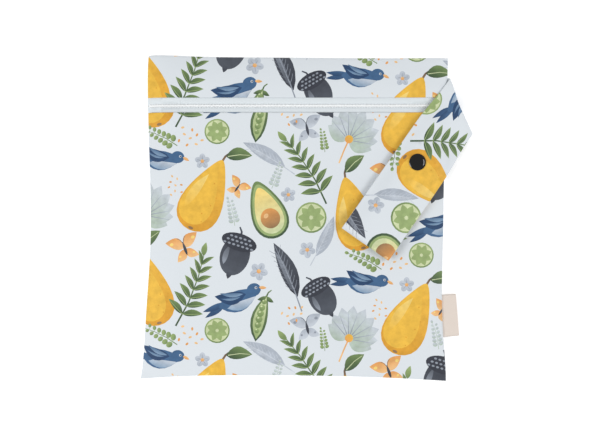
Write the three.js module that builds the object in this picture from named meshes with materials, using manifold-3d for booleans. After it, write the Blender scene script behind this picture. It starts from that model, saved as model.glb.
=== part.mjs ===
// A small zipped wet bag of laminated cloth, empty and closed, lying on its back with a snap
// strap folded across its front. Millimetres, +X to the right of the front, +Y towards the top
// edge, +Z up out of the front. The origin is the middle of the face that the bag lies on.
import * as THREE from "three";
import { mergeVertices } from "three/addons/utils/BufferGeometryUtils.js";
import Module from "manifold-3d";

// Driving dimensions of the bag
const BAG_WIDTH = 225;
const BAG_HEIGHT = 241;
const CLOTH = 1.1;
const GAP = 0.3;
const HOLLOW_RISE = 5.4;
const SHOULDER = 24;
const SEAM_RISE = 1;
const SEAM_ROLL = 12;
const TUCK = 4;
const SEAM_STEP = 8;
const SEAM_HELD = 5;
const SEAM_FADE = 30;

// The zip: where its chain runs, how much tape shows on each side, and the slider at its end
const ZIP_FROM_TOP = 37.2;
const TAPE_SHOWN_ABOVE = 6;
const TAPE_SHOWN_BELOW = 5;
const TAPE_HIDDEN = 6;
const TAPE = 1;
const CHAIN_WIDTH = 3;
const CHAIN_THICK = 1.3;
const CHAIN_SHORT = 1.5;
const SLIDER_LENGTH = 8;
const SLIDER_WALL = 1.2;
const SLIDER_EDGE = 0.7;
const SLIDER_FROM_SEAM = 8;
const PULL_LENGTH = 17;
const PULL_WIDTH = 5;
const PULL_THICK = 1;
const PULL_EYE = 1.25;

// The strap: a doubled strip sewn into the right seam, folded over beside the bag, laid across
// the front and turned back under itself into a loop that the snap closes
const STRAP_WIDTH = 42.2;
const STRAP_GATHER = 2.2;
const STRAP_OUT = 10;
const STRAP_EXIT_DEG = -4.8;
const STRAP_LIE_DEG = -125;
const FOLD_RADIUS = 1.2;
const FOLD_CLEAR = 2.3;
const FOLD_SETTLE = 30;
const RISE_RUN = 32;
const SNAP_FROM_FOLD = 53.4;
const LOOP_REACH = 71.8;
const LOOP_GAP = 6;
const FREE_END = 10;

// The snap: two domed caps whose posts pass through the strap into a socket and a stud
const SNAP_ASIDE = 3.7;
const SNAP_FLAT = 8;
const SNAP_SLOPE = 20;
const PLANE_FLAT = 12;
const PLANE_FADE = 24;
const CAP_RADIUS = 6.2;
const CAP_THICK = 1.2;
const CAP_RIM = 0.3;
const POST_RADIUS = 2;
const POST_GRIP = 0.5;
const STUD_RADIUS = 5.3;
const STUD_BASE = 0.8;
const KNOB_RADIUS = 2.9;
const SOCKET_THICK = 2.6;
const SOCKET_FLOOR = 1;
const ROUND_SIDES = 20;

// The label: a folded tape caught in the right seam near the bottom
const LABEL_LENGTH = 31.5;
const LABEL_OUT = 11.4;
const LABEL_THICK = 1;
const LABEL_FROM_BOTTOM = 47;
const LABEL_TURN_DEG = 4.5;

// How far each side edge lies inside the full width, as shares of it, up the bag's height
const SIDE_EDGES = [
  { up: 0.0, left: -0.021, right: 0.006 },
  { up: 0.06, left: -0.014, right: 0.01 },
  { up: 0.13, left: -0.0075, right: 0.0145 },
  { up: 0.22, left: -0.003, right: 0.021 },
  { up: 0.3, left: 0.003, right: 0.0185 },
  { up: 0.44, left: 0.0125, right: 0.0165 },
  { up: 0.62, left: 0.0095, right: 0.013 },
  { up: 0.77, left: 0.0045, right: 0.008 },
  { up: 0.85, left: 0.0015, right: 0.003 },
  { up: 0.92, left: 0.001, right: 0.0015 },
  { up: 1.0, left: 0.004, right: 0.0 },
];

// How far the bottom edge lies above its corner line, and the top edge below its own, as
// shares of the height, across the width
const END_EDGES = [
  { across: 0.0, bottom: 0.0, top: -0.006 },
  { across: 0.16, bottom: 0.009, top: 0.0003 },
  { across: 0.3, bottom: 0.0102, top: 0.0022 },
  { across: 0.55, bottom: 0.0094, top: 0.004 },
  { across: 0.75, bottom: 0.005, top: 0.0056 },
  { across: 0.88, bottom: -0.0005, top: 0.005 },
  { across: 1.0, bottom: -0.007, top: 0.005 },
];

const clamp = THREE.MathUtils.clamp;
const mix = THREE.MathUtils.lerp;
const smooth = (from, to, x) => THREE.MathUtils.smoothstep(x, from, to);
const radians = THREE.MathUtils.degToRad;

// A smooth curve through one column of a table
function curveOf(table, position, column) {
  const through = new THREE.CubicInterpolant(
    table.map((row) => row[position]),
    table.map((row) => row[column]),
    1,
  );
  return (at) => through.evaluate(at)[0];
}

// The bag's outline
const leftInset = curveOf(SIDE_EDGES, "up", "left");
const rightInset = curveOf(SIDE_EDGES, "up", "right");
const bottomLift = curveOf(END_EDGES, "across", "bottom");
const topDrop = curveOf(END_EDGES, "across", "top");
const upOf = (y) => clamp(y / BAG_HEIGHT + 0.5, 0, 1);
const acrossOf = (x) => clamp(x / BAG_WIDTH + 0.5, 0, 1);
const leftEdge = (y) => BAG_WIDTH * (leftInset(upOf(y)) - 0.5);
const rightEdge = (y) => BAG_WIDTH * (0.5 - rightInset(upOf(y)));
const bottomEdge = (x) => BAG_HEIGHT * (bottomLift(acrossOf(x)) - 0.5);
const topEdge = (x) => BAG_HEIGHT * (0.5 - topDrop(acrossOf(x)));

// A point of the outline's grid: a share of the way across at a nominal height
function planPoint(across, height) {
  const x = BAG_WIDTH * (across - 0.5);
  const nearBottom = 1 - smooth(0, SHOULDER, height + BAG_HEIGHT / 2);
  const nearTop = 1 - smooth(0, SHOULDER, BAG_HEIGHT / 2 - height);
  const y =
    height +
    nearBottom * (bottomEdge(x) + BAG_HEIGHT / 2) +
    nearTop * (topEdge(x) - BAG_HEIGHT / 2);
  return { x: mix(leftEdge(y), rightEdge(y), across), y };
}

// What the side seams hold between the two panels, which lifts the front one there
const ZIP_Y = BAG_HEIGHT / 2 - ZIP_FROM_TOP;
const WINDOW_TOP = ZIP_Y + TAPE_SHOWN_ABOVE;
const WINDOW_BOTTOM = ZIP_Y - TAPE_SHOWN_BELOW;
const LABEL_Y = LABEL_FROM_BOTTOM - BAG_HEIGHT / 2;
const zipSpan = { from: WINDOW_BOTTOM - TAPE_HIDDEN, to: WINDOW_TOP + TAPE_HIDDEN };
const STRAP_HALF = STRAP_WIDTH / 2;
const strapSpan = { from: ZIP_Y - STRAP_HALF + STRAP_GATHER, to: ZIP_Y + STRAP_HALF };
const labelSpan = { from: LABEL_Y - LABEL_LENGTH / 2, to: LABEL_Y + LABEL_LENGTH / 2 };
const SEAM_INSERTS = [
  { ...zipSpan, thick: TAPE, left: 1, right: 1 },
  { ...strapSpan, thick: CLOTH, left: 0, right: 1 },
  { ...labelSpan, thick: LABEL_THICK, left: 0, right: 1 },
];

function seamLift(x, y) {
  const fade = (inside) => 1 - smooth(SEAM_HELD, SEAM_FADE, inside);
  const leftFade = fade(x - leftEdge(y));
  const rightFade = fade(rightEdge(y) - x);
  let lift = 0;
  for (const held of SEAM_INSERTS) {
    const low = held.from - GAP * 2;
    const high = held.to + GAP * 2;
    const window = smooth(low - SEAM_STEP, low, y) * (1 - smooth(high, high + SEAM_STEP, y));
    lift += (held.thick + GAP) * window * (held.left * leftFade + held.right * rightFade);
  }
  return lift;
}

// Heights of the two panels. The back lies flat and rolls up to the seam, and the front
// rises over the hollow from a shoulder all round.
const SEAM_TOP = SEAM_RISE + CLOTH + GAP;

function backUnder(x, y) {
  const inside = Math.min(
    x - leftEdge(y),
    rightEdge(y) - x,
    y - bottomEdge(x),
    topEdge(x) - y,
  );
  return SEAM_RISE * (1 - smooth(0, SEAM_ROLL, inside));
}

function frontUnder(x, y) {
  const rise = (inside) => Math.sin((Math.PI / 2) * clamp(inside / SHOULDER, 0, 1));
  const pillow =
    rise(x - leftEdge(y)) *
    rise(rightEdge(y) - x) *
    rise(y - bottomEdge(x)) *
    rise(topEdge(x) - y);
  return SEAM_TOP + HOLLOW_RISE * pillow + seamLift(x, y);
}

const frontTop = (x, y) => frontUnder(x, y) + CLOTH;
const tapeTop = (x, y) => frontUnder(x, y) - GAP;
const chainUnder = (x, y) => tapeTop(x, y) + GAP;

// The plane that touches the front at a point, as a turn from flat
function frontTurn(x, y) {
  const step = 1;
  const slopeX = (frontTop(x + step, y) - frontTop(x - step, y)) / (2 * step);
  const slopeY = (frontTop(x, y + step) - frontTop(x, y - step)) / (2 * step);
  const normal = new THREE.Vector3(-slopeX, -slopeY, 1).normalize();
  return new THREE.Quaternion().setFromUnitVectors(new THREE.Vector3(0, 0, 1), normal);
}

// A closed wall: a box of one layer whose corners are moved to where place puts them
function wall(columns, rows, place) {
  const geometry = new THREE.BoxGeometry(1, 1, 1, columns.length - 1, rows.length - 1, 1);
  const position = geometry.getAttribute("position");
  for (let i = 0; i < position.count; i++) {
    const column = columns[Math.round((position.getX(i) + 0.5) * (columns.length - 1))];
    const row = rows[Math.round((position.getY(i) + 0.5) * (rows.length - 1))];
    const point = place(column, row, position.getZ(i) > 0);
    position.setXYZ(i, point.x, point.y, point.z);
  }
  geometry.computeVertexNormals();
  return geometry;
}

// Even steps between two ends, both included
const steps = (from, to, spans) =>
  Array.from({ length: spans + 1 }, (_, i) => mix(from, to, i / spans));

// Grid lines that come close together near an edge, as distances from it
const EDGE_STEPS = [0, 2.5, 5, 8, 11.5, 15.5, 19.5, SHOULDER];
const MIDDLE_SPANS = 6;

function gridLines(low, high, closeLow, closeHigh) {
  const near = closeLow ? EDGE_STEPS.map((d) => low + d) : [low];
  const far = closeHigh ? EDGE_STEPS.map((d) => high - d).reverse() : [high];
  return [...near, ...steps(near.at(-1), far[0], MIDDLE_SPANS).slice(1, -1), ...far];
}

// Adds lines where the seam's lift begins and ends, and drops any that nearly repeat
function withSeamLines(lines) {
  const closest = 1;
  const low = lines[0];
  const high = lines.at(-1);
  const wanted = SEAM_INSERTS.flatMap((held) => [
    held.from - GAP * 2 - SEAM_STEP,
    held.from - GAP * 2 - SEAM_STEP / 2,
    held.from - GAP * 2,
    held.to + GAP * 2,
    held.to + GAP * 2 + SEAM_STEP / 2,
    held.to + GAP * 2 + SEAM_STEP,
  ]).filter((y) => y > low + closest && y < high - closest);
  const kept = lines.filter((y) => wanted.every((w) => Math.abs(w - y) > closest));
  const all = [...new Set([low, high, ...kept, ...wanted])].sort((a, b) => a - b);
  return all.filter((y, i) => i === 0 || y - all[i - 1] > closest || y === high);
}

const acrossLines = gridLines(0, BAG_WIDTH, true, true).map((x) => x / BAG_WIDTH);

function panel(rows, under, thick) {
  return wall(acrossLines, rows, (across, height, isTop) => {
    const { x, y } = planPoint(across, height);
    return { x, y, z: under(x, y) + (isTop ? thick : 0) };
  });
}

const lowerRows = withSeamLines(gridLines(-BAG_HEIGHT / 2, WINDOW_BOTTOM, true, false));
const upperRows = withSeamLines(gridLines(WINDOW_TOP, BAG_HEIGHT / 2, false, true));
const backRows = gridLines(-BAG_HEIGHT / 2, BAG_HEIGHT / 2, true, true);

// The strap, as the middle of its cloth at a place along and across the flat strip
const direction = (degrees) =>
  new THREE.Vector2(Math.cos(radians(degrees)), Math.sin(radians(degrees)));
const exitWay = direction(STRAP_EXIT_DEG);
const exitSide = direction(STRAP_EXIT_DEG + 90);
const foldOut = direction((STRAP_EXIT_DEG + STRAP_LIE_DEG) / 2 + 90);
const strapRoot = new THREE.Vector2(rightEdge(ZIP_Y), ZIP_Y);
const foldLean = exitWay.dot(foldOut);
const foldStart = STRAP_OUT - (FOLD_RADIUS + CLOTH / 2) / foldLean;
const foldSkew = -exitSide.dot(foldOut) / foldLean;
const foldAlong = (Math.PI * FOLD_RADIUS) / foldLean;
const snapAlong = STRAP_OUT + SNAP_FROM_FOLD;
const loopRadius = (LOOP_GAP + CLOTH) / 2;
const loopStart = snapAlong + LOOP_REACH - loopRadius - CLOTH / 2;
const loopEnd = loopStart + Math.PI * loopRadius;
const strapEnd = loopEnd + (loopStart - snapAlong) + FREE_END;

// The strap's lower edge is drawn in where it is sewn and folded, and spreads out by the snap
const foldFar = foldStart + foldAlong - foldSkew * STRAP_HALF;
const gathered = (across, share) =>
  mix(across, STRAP_HALF, (share * STRAP_GATHER) / STRAP_WIDTH);

// The fold keeps clear of the bag's edge at its upper end, where it meets the seam
const foldClear = (across) => FOLD_CLEAR * smooth(0, STRAP_HALF, across);
const foldLag = (across) => foldSkew * across + foldClear(across) / foldLean;

// Heights of the strap's cloth over the front, from what the snap needs between its layers
const SNAP_BETWEEN = GAP + STUD_BASE + GAP + SOCKET_THICK + GAP;
const SNAP_RISE = CAP_THICK + GAP + CLOTH + SNAP_BETWEEN;
const LOOP_RISE = LOOP_GAP + CLOTH;
const rootHeight = SEAM_TOP + CLOTH / 2;

function strapPlan(along, across) {
  const flat = strapRoot
    .clone()
    .addScaledVector(exitWay, along)
    .addScaledVector(exitSide, across);
  const past = (along - foldStart - foldLag(across)) * foldLean;
  const turn = clamp(past / FOLD_RADIUS, 0, Math.PI);
  const beyond = Math.max(past - Math.PI * FOLD_RADIUS, 0);
  const folded = past < 0 ? past : FOLD_RADIUS * Math.sin(turn) - beyond;
  const settled = 2 * foldClear(across) * smooth(0, FOLD_SETTLE, beyond);
  return { point: flat.addScaledVector(foldOut, folded - past - settled), turn, beyond };
}

// The snap stands on the plane that touches the front under it, and the strap's layers run
// along that plane beside the snap
const snapPoint = strapPlan(snapAlong, SNAP_ASIDE).point;
const snapFoot = frontTop(snapPoint.x, snapPoint.y);
const snapTurn = frontTurn(snapPoint.x, snapPoint.y);
const snapUp = new THREE.Vector3(0, 0, 1).applyQuaternion(snapTurn);
const snapPlane = (p) =>
  snapFoot - (snapUp.x * (p.x - snapPoint.x) + snapUp.y * (p.y - snapPoint.y)) / snapUp.z;

function layHeight(p) {
  const away = smooth(PLANE_FLAT, PLANE_FADE, p.distanceTo(snapPoint));
  return mix(snapPlane(p), frontTop(p.x, p.y), away) + (GAP + CLOTH / 2) / snapUp.z;
}

function strapMiddle(along, across) {
  const loopTurn = clamp((along - loopStart) / loopRadius, 0, Math.PI);
  const back = Math.max(along - loopEnd, 0);
  const reach = Math.min(along, loopStart) + loopRadius * Math.sin(loopTurn) - back;
  const share = 1 - smooth(foldFar, snapAlong, reach);
  const { point, turn, beyond } = strapPlan(reach, gathered(across, share));
  const fromSnap = reach - snapAlong;
  const lay = layHeight(point);
  const upper =
    lay +
    (SNAP_RISE / snapUp.z) * smooth(0, RISE_RUN, beyond) +
    (LOOP_RISE - SNAP_RISE) * smooth(SNAP_FLAT, SNAP_SLOPE + SNAP_FLAT, fromSnap);
  const free =
    lay + ((CAP_THICK + GAP) / snapUp.z) * (1 - smooth(SNAP_FLAT, SNAP_SLOPE, Math.abs(fromSnap)));
  const outward = mix(rootHeight, upper, (1 - Math.cos(turn)) / 2);
  const height = mix(outward, free, (1 - Math.cos(loopTurn)) / 2);
  return new THREE.Vector3(point.x, point.y, height);
}

// Places along the strip between which the grid is even, and where its lines follow the fold
const STRAP_KNOTS = [
  { along: -TUCK, fold: 0, spans: 3 },
  { along: foldStart, fold: 1, spans: 6 },
  { along: foldStart + foldAlong, fold: 1, spans: 8 },
  { along: snapAlong - SNAP_FLAT, fold: 0, spans: 4 },
  { along: snapAlong + SNAP_FLAT, fold: 0, spans: 8 },
  { along: loopStart, fold: 0, spans: 8 },
  { along: loopEnd, fold: 0, spans: 8 },
  { along: loopEnd + loopStart - snapAlong - SNAP_FLAT, fold: 0, spans: 5 },
  { along: strapEnd, fold: 0, spans: 0 },
];
const STRAP_STRIPS = 7;

const strapStations = STRAP_KNOTS.slice(0, -1).flatMap((knot, i) => {
  const next = STRAP_KNOTS[i + 1];
  const along = steps(knot.along, next.along, knot.spans);
  const fold = steps(knot.fold, next.fold, knot.spans);
  const last = i === STRAP_KNOTS.length - 2;
  return along.map((at, k) => ({ along: at, fold: fold[k] })).slice(0, last ? undefined : -1);
});

function strapCloth() {
  const near = 0.05;
  const strips = steps(-STRAP_HALF, STRAP_HALF, STRAP_STRIPS);
  return wall(strapStations, strips, (at, across, isTop) => {
    const along = at.along + at.fold * foldLag(gathered(across, 1));
    const lengthwise = strapMiddle(along + near, across).sub(strapMiddle(along - near, across));
    const sideways = strapMiddle(along, across + near).sub(strapMiddle(along, across - near));
    const normal = lengthwise.cross(sideways).normalize();
    return strapMiddle(along, across).addScaledVector(normal, (isTop ? CLOTH : -CLOTH) / 2);
  });
}

// Joining and cutting
const wasm = await Module();
wasm.setup();

function solidOf(geometry, matrix) {
  const bare = geometry.clone().applyMatrix4(matrix ?? new THREE.Matrix4());
  bare.deleteAttribute("normal");
  bare.deleteAttribute("uv");
  const merged = mergeVertices(bare, 1e-4);
  return new wasm.Manifold(
    new wasm.Mesh({
      numProp: 3,
      vertProperties: merged.getAttribute("position").array,
      triVerts: new Uint32Array(merged.index.array),
    }),
  );
}

function geometryOf(solid) {
  const mesh = solid.getMesh();
  const geometry = new THREE.BufferGeometry();
  geometry.setAttribute("position", new THREE.BufferAttribute(mesh.vertProperties, 3));
  geometry.setIndex(new THREE.BufferAttribute(mesh.triVerts, 1));
  geometry.computeVertexNormals();
  return geometry;
}

// Materials
const printedCloth = new THREE.MeshStandardMaterial({ color: 0xe4eaf0, roughness: 0.55 });
const zipTape = new THREE.MeshStandardMaterial({ color: 0xe2eaf1, roughness: 0.8 });
const zipNylon = new THREE.MeshStandardMaterial({ color: 0xeef3f7, roughness: 0.4 });
const blackPlastic = new THREE.MeshStandardMaterial({ color: 0x0c0b0e, roughness: 0.2 });
const cottonTape = new THREE.MeshStandardMaterial({ color: 0xe0d3c6, roughness: 0.9 });

const bag = new THREE.Group();
function addPiece(name, geometry, material, parent = bag) {
  const mesh = new THREE.Mesh(geometry, material);
  mesh.name = name;
  parent.add(mesh);
  return mesh;
}

// The panels
addPiece("back_panel", panel(backRows, backUnder, CLOTH), printedCloth);
addPiece("front_panel", panel(lowerRows, frontUnder, CLOTH), printedCloth);
addPiece("upper_front_panel", panel(upperRows, frontUnder, CLOTH), printedCloth);

// The zip tapes, sewn under the panels' folded edges, and the closed chain on them
const tapeUnder = (x, y) => tapeTop(x, y) - TAPE;
const lowerTapeRows = [zipSpan.from, WINDOW_BOTTOM, ZIP_Y - GAP / 2];
const upperTapeRows = [ZIP_Y + GAP / 2, WINDOW_TOP, zipSpan.to];
addPiece("zip_lower_tape", panel(lowerTapeRows, tapeUnder, TAPE), zipTape);
addPiece("zip_upper_tape", panel(upperTapeRows, tapeUnder, TAPE), zipTape);

const CHAIN_CROWN = [
  { aside: -1.0, height: 0.45 },
  { aside: -0.6, height: 0.9 },
  { aside: 0.0, height: 1.0 },
  { aside: 0.6, height: 0.9 },
  { aside: 1.0, height: 0.45 },
];
function zipChain() {
  return wall(acrossLines, CHAIN_CROWN, (across, crown, isTop) => {
    const y = ZIP_Y + (crown.aside * CHAIN_WIDTH) / 2;
    const x = mix(leftEdge(y) + CHAIN_SHORT, rightEdge(y) - CHAIN_SHORT, across);
    return { x, y, z: chainUnder(x, ZIP_Y) + (isTop ? crown.height * CHAIN_THICK : 0) };
  });
}
addPiece("zip_chain", zipChain(), zipNylon);

// The slider, a channel over the chain with its pull laid down beside it, under the strap
function sliderBody() {
  const inner = CHAIN_WIDTH / 2 + GAP;
  const outer = inner + SLIDER_WALL;
  const foot = -(CHAIN_THICK + GAP);
  const section = new THREE.Shape([
    new THREE.Vector2(-outer, foot),
    new THREE.Vector2(-inner, foot),
    new THREE.Vector2(-inner, 0),
    new THREE.Vector2(inner, 0),
    new THREE.Vector2(inner, foot),
    new THREE.Vector2(outer, foot),
    new THREE.Vector2(outer, SLIDER_EDGE),
    new THREE.Vector2(inner, SLIDER_WALL),
    new THREE.Vector2(-inner, SLIDER_WALL),
    new THREE.Vector2(-outer, SLIDER_EDGE),
  ]);
  const channel = new THREE.ExtrudeGeometry(section, { depth: SLIDER_LENGTH, bevelEnabled: false });
  const lieAlongX = new THREE.Matrix4().makeBasis(
    new THREE.Vector3(0, 1, 0),
    new THREE.Vector3(0, 0, 1),
    new THREE.Vector3(1, 0, 0),
  );
  lieAlongX.setPosition(-SLIDER_LENGTH / 2, 0, 0);

  const half = PULL_WIDTH / 2;
  const tab = new THREE.Shape();
  tab.moveTo(-half, 0);
  tab.lineTo(-half, half - PULL_LENGTH);
  tab.absarc(0, half - PULL_LENGTH, half, Math.PI, 2 * Math.PI);
  tab.lineTo(half, 0);
  tab.closePath();
  const eye = new THREE.Path().absarc(0, half - PULL_LENGTH, PULL_EYE, 0, 2 * Math.PI, true);
  tab.holes.push(eye);
  const pull = new THREE.ExtrudeGeometry(tab, {
    depth: PULL_THICK,
    bevelEnabled: false,
    curveSegments: 6,
  });
  const pullPlace = new THREE.Matrix4().makeTranslation(0, 0, SLIDER_WALL - PULL_THICK);
  return geometryOf(solidOf(channel, lieAlongX).add(solidOf(pull, pullPlace)));
}
const slider = addPiece("zip_slider", sliderBody(), zipNylon);
const sliderX = rightEdge(ZIP_Y) - SLIDER_FROM_SEAM;
slider.position.set(sliderX, ZIP_Y, chainUnder(sliderX, ZIP_Y) + CHAIN_THICK + GAP);
slider.quaternion.copy(frontTurn(sliderX, ZIP_Y));

// The snap's pieces, all turned about one line square to the front under them
const snap = new THREE.Group();
snap.position.set(snapPoint.x, snapPoint.y, snapFoot);
snap.quaternion.copy(snapTurn);
bag.add(snap);

const turned = (outline) => {
  const lathed = new THREE.LatheGeometry(
    outline.map(([radius, height]) => new THREE.Vector2(radius, height)),
    ROUND_SIDES,
  );
  return lathed.rotateX(Math.PI / 2);
};

// The cap's dome, from its rim to its middle, as shares of its radius and thickness
const CAP_DOME = [
  { out: 0.92, up: 0.6 },
  { out: 0.7, up: 0.88 },
  { out: 0.35, up: 1.0 },
  { out: 0.0, up: 1.0 },
];

// A cap's dome is up and its post down, long enough to be gripped beyond the cloth
function capOutline() {
  const post = GAP + CLOTH + GAP + POST_GRIP;
  return [
    [0, -post],
    [POST_RADIUS, -post],
    [POST_RADIUS, 0],
    [CAP_RADIUS - CAP_RIM, 0],
    [CAP_RADIUS, CAP_RIM],
    ...CAP_DOME.map((ring) => [CAP_RADIUS * ring.out, CAP_THICK * ring.up]),
  ];
}

const socketRecess = SOCKET_THICK - SOCKET_FLOOR;
const postHole = POST_RADIUS + GAP;

// Stud: a plate with a hole below for the post and a knob above, which starts a gap below the
// socket and stops a gap short of the end of its recess
function studOutline() {
  return [
    [0, POST_GRIP + GAP],
    [postHole, POST_GRIP + GAP],
    [postHole, 0],
    [STUD_RADIUS, 0],
    [STUD_RADIUS, STUD_BASE],
    [KNOB_RADIUS, STUD_BASE],
    [KNOB_RADIUS, STUD_BASE + socketRecess],
    [0, STUD_BASE + socketRecess],
  ];
}

// Socket: a ring whose wide recess takes the knob and whose narrow hole takes the post
function socketOutline() {
  const recess = KNOB_RADIUS + GAP;
  return [
    [recess, 0],
    [STUD_RADIUS, 0],
    [STUD_RADIUS, SOCKET_THICK],
    [postHole, SOCKET_THICK],
    [postHole, socketRecess],
    [recess, socketRecess],
    [recess, 0],
  ];
}

// Heights up the snap from the front of the bag
const freeTop = GAP + CAP_THICK + GAP + CLOTH;
const studAt = freeTop + GAP;
const socketAt = studAt + STUD_BASE + GAP;
const capAt = socketAt + SOCKET_THICK + GAP + CLOTH + GAP;
addPiece("snap_cap", turned(capOutline()), blackPlastic, snap).position.z = capAt;
addPiece("snap_socket", turned(socketOutline()), blackPlastic, snap).position.z = socketAt;
addPiece("snap_stud", turned(studOutline()), blackPlastic, snap).position.z = studAt;
const backCap = addPiece("snap_back_cap", turned(capOutline()), blackPlastic, snap);
backCap.rotation.x = Math.PI;
backCap.position.z = GAP + CAP_THICK;

// The strap, with the holes that the snap's posts pass through
snap.updateMatrixWorld(true);
const drill = new THREE.CylinderGeometry(postHole, postHole, 2 * capAt, ROUND_SIDES);
drill.rotateX(Math.PI / 2);
addPiece(
  "strap",
  geometryOf(solidOf(strapCloth()).subtract(solidOf(drill, snap.matrixWorld))),
  printedCloth,
);

// The label, with its outer edge rounded where the tape is folded
const LABEL_SECTION = [
  { out: 0.0, thick: 1.0 },
  { out: 0.3, thick: 1.0 },
  { out: 0.93, thick: 1.0 },
  { out: 0.975, thick: 0.75 },
  { out: 1.0, thick: 0.3 },
];
function labelTape() {
  const ends = steps(-LABEL_LENGTH / 2, LABEL_LENGTH / 2, 4);
  return wall(LABEL_SECTION, ends, (section, y, isTop) => ({
    x: mix(-TUCK, LABEL_OUT, section.out),
    y,
    z: ((isTop ? 1 : -1) * section.thick * LABEL_THICK) / 2,
  }));
}
const label = addPiece("side_label", labelTape(), cottonTape);
label.position.set(rightEdge(LABEL_Y), LABEL_Y, SEAM_TOP + LABEL_THICK / 2);
label.rotation.z = radians(LABEL_TURN_DEG);

export default bag;
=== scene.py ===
import math
from functools import partial

import bmesh
import bpy
import numpy as np
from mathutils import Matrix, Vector, noise
from mathutils.bvhtree import BVHTree
from mathutils.geometry import delaunay_2d_cdt


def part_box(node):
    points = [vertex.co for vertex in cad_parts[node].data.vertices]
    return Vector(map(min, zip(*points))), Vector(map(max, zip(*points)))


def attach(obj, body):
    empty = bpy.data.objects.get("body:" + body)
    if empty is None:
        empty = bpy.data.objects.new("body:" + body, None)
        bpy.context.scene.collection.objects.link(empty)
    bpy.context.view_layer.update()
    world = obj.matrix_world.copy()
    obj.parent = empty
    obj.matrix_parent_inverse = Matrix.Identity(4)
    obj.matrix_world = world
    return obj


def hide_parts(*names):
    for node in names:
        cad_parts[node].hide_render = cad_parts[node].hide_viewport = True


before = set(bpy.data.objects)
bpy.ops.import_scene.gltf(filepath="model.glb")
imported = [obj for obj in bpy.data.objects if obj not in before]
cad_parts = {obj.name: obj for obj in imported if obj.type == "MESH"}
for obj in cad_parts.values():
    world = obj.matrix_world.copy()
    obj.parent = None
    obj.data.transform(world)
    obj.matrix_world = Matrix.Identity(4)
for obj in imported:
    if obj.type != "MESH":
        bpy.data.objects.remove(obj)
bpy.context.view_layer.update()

# The camera. It looks straight down on the front of the bag, with the zip at the top, from
# about a metre up. The bag has no free cord.
MM = 0.001
LENS_MM = 85
SENSOR_MM = 36
CAMERA_HEIGHT_MM = 1062.5
CAMERA_RIGHT_MM = 1.8
CAMERA_UP_MM = -1.4


def placed(name, data):
    """A new object in the scene."""
    obj = bpy.data.objects.new(name, data)
    bpy.context.scene.collection.objects.link(obj)
    return obj


camera_data = bpy.data.cameras.new("camera")
camera_data.lens = LENS_MM
camera_data.sensor_width = SENSOR_MM
camera = placed("camera", camera_data)
camera.location = Vector((CAMERA_RIGHT_MM, CAMERA_UP_MM, CAMERA_HEIGHT_MM)) * MM
bpy.context.scene.camera = camera


# The back panel. It is one piece of printed knit with a waterproof film behind it, cut nearly
# square. It lies on the floor and rolls up at its edge to the seam that joins it to the front.
CLOTH_MM = 0.6
SEAM_Z_MM = 2.25
SEAM_GAP_MM = 0.05
SEAM_RISE_MM = 1.0
EDGE_ROLL_MM = 1.6
EDGE_THIN_MM = 0.4
BACK_ROLL_MM = 12
GRID_MM = 3.2
MERGE_MM = 0.02
EDGE_LINES_MM = (0.2, 0.6, 1.1, 1.6, 2.6, 4.2, 6.4, 9.0, 12.0, 15.0, 18.0, 21.0, 24.0)
CORNER_REACH_MM = 100
RIM_BELOW_MM = 0.2
EDGE_READINGS = 100
EDGE_DEGREE = 8
OUTSIDE_MM = 300
GROUND = (212, 218, 223)
INSIDE = (232, 235, 238)


def mm_box(node):
    """The low and high corners of one of the solids, in millimetres."""
    return [np.array(corner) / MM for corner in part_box(node)]


def smooth(low, high, x):
    """0 below low, 1 above high and an even curve between."""
    t = np.clip((x - low) / (high - low), 0, 1)
    return t * t * (3 - 2 * t)


def linear(colour):
    """A colour of 0 to 255 as Blender's linear colour."""
    return np.power(np.array(colour) / 255, 2.2)


def outline_edge(axis, sign):
    """One edge of the bag's outline, as a smooth curve read off the rim of the back panel.
    A reading that passes outside a corner and meets another edge is left out."""
    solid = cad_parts["back_panel"].data
    tree = BVHTree.FromPolygons(
        [v.co for v in solid.vertices], [p.vertices for p in solid.polygons]
    )
    low, high = mm_box("back_panel")
    along = 1 - axis
    way = Vector((0, 0, 0))
    way[axis] = -sign
    found = []
    for at in np.linspace(low[along] + 1, high[along] - 1, EDGE_READINGS):
        start = Vector((0, 0, high[2] - RIM_BELOW_MM))
        start[along] = at
        start[axis] = sign * OUTSIDE_MM
        hit = tree.ray_cast(start * MM, way)[0]
        if hit and sign * hit[axis] / MM > CORNER_REACH_MM:
            found.append((at, hit[axis] / MM))
    return np.polynomial.Polynomial.fit(*np.transpose(found), EDGE_DEGREE)


left_edge = outline_edge(0, -1)
right_edge = outline_edge(0, 1)
bottom_edge = outline_edge(1, -1)
top_edge = outline_edge(1, 1)


def insides(x, y):
    """How far a point lies inside each of the four edges."""
    return np.array([x - left_edge(y), right_edge(y) - x, y - bottom_edge(x), top_edge(x) - y])


def corner(side, end):
    """Where a side edge and an end edge meet."""
    x, y = side(0), end(0)
    for _ in range(6):
        x, y = side(y), end(x)
    return x, y


def steps(low, high):
    """Even steps of about the grid's size, ends included."""
    return np.linspace(low, high, max(2, round((high - low) / GRID_MM) + 1))


def side_line(side, shift, low, high):
    """Points up a side edge, moved sideways by shift, from one height to another."""
    y = steps(low, high)
    return np.stack([side(y) + shift, y], 1)


def end_line(end, shift, low, high):
    """Points along an end edge, moved up by shift, from one side to the other."""
    x = steps(low, high)
    return np.stack([x, end(x) + shift], 1)


def level(y):
    """An end edge that is straight, where a panel is cut off at the zip."""
    return np.polynomial.Polynomial([y])


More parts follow.
